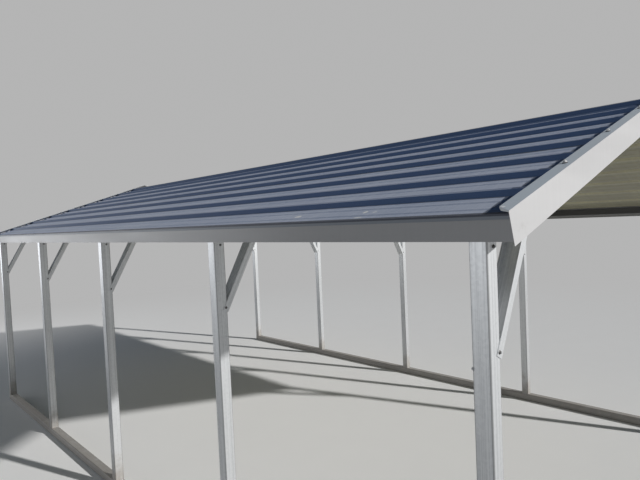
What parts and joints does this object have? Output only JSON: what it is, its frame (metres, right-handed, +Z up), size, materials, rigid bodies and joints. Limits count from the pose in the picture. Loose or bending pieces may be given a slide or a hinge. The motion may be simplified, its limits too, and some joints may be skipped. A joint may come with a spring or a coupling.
{
  "type": "carport",
  "caption": "Open-sided steel carport: square-tube frame with knee braces under a ribbed sheet gable roof, standing on two base rails.",
  "frame": {"origin": "on the ground under the middle of the roof", "axes": "+X along the ridge towards the front opening, +Y across to the right side, +Z up"},
  "size_m": [6.3696, 3.8492, 2.5675],
  "materials": {
    "galvanised_tube": "galvanised steel tube with fine streaks along it, satin",
    "galvanised_channel": "galvanised steel channel, satin",
    "roof_sheet": "grey painted steel sheet, satin, lightly weathered",
    "painted_trim": "grey painted steel trim, satin"
  },
  "bodies": {
    "root": {"back_left_rake_trim": "painted_trim", "back_right_rake_trim": "painted_trim", "front_left_rake_trim": "painted_trim", "front_right_rake_trim": "painted_trim", "left_base_rail": "galvanised_tube", "left_brace_1": "galvanised_channel", "left_brace_2": "galvanised_channel", "left_brace_3": "galvanised_channel", "left_brace_4": "galvanised_channel", "left_brace_5": "galvanised_channel", "left_eave_trim": "painted_trim", "left_lower_sheet": "roof_sheet", "left_post_1": "galvanised_tube", "left_post_2": "galvanised_tube", "left_post_3": "galvanised_tube", "left_post_4": "galvanised_tube", "left_post_5": "galvanised_tube", "left_rafter_1": "galvanised_tube", "left_rafter_2": "galvanised_tube", "left_rafter_3": "galvanised_tube", "left_rafter_4": "galvanised_tube", "left_rafter_5": "galvanised_tube", "left_upper_sheet": "roof_sheet", "ridge_cap": "painted_trim", "right_base_rail": "galvanised_tube", "right_brace_1": "galvanised_channel", "right_brace_2": "galvanised_channel", "right_brace_3": "galvanised_channel", "right_brace_4": "galvanised_channel", "right_brace_5": "galvanised_channel", "right_eave_trim": "painted_trim", "right_lower_sheet": "roof_sheet", "right_post_1": "galvanised_tube", "right_post_2": "galvanised_tube", "right_post_3": "galvanised_tube", "right_post_4": "galvanised_tube", "right_post_5": "galvanised_tube", "right_rafter_1": "galvanised_tube", "right_rafter_2": "galvanised_tube", "right_rafter_3": "galvanised_tube", "right_rafter_4": "galvanised_tube", "right_rafter_5": "galvanised_tube", "right_upper_sheet": "roof_sheet"}
  },
  "joints": []
}
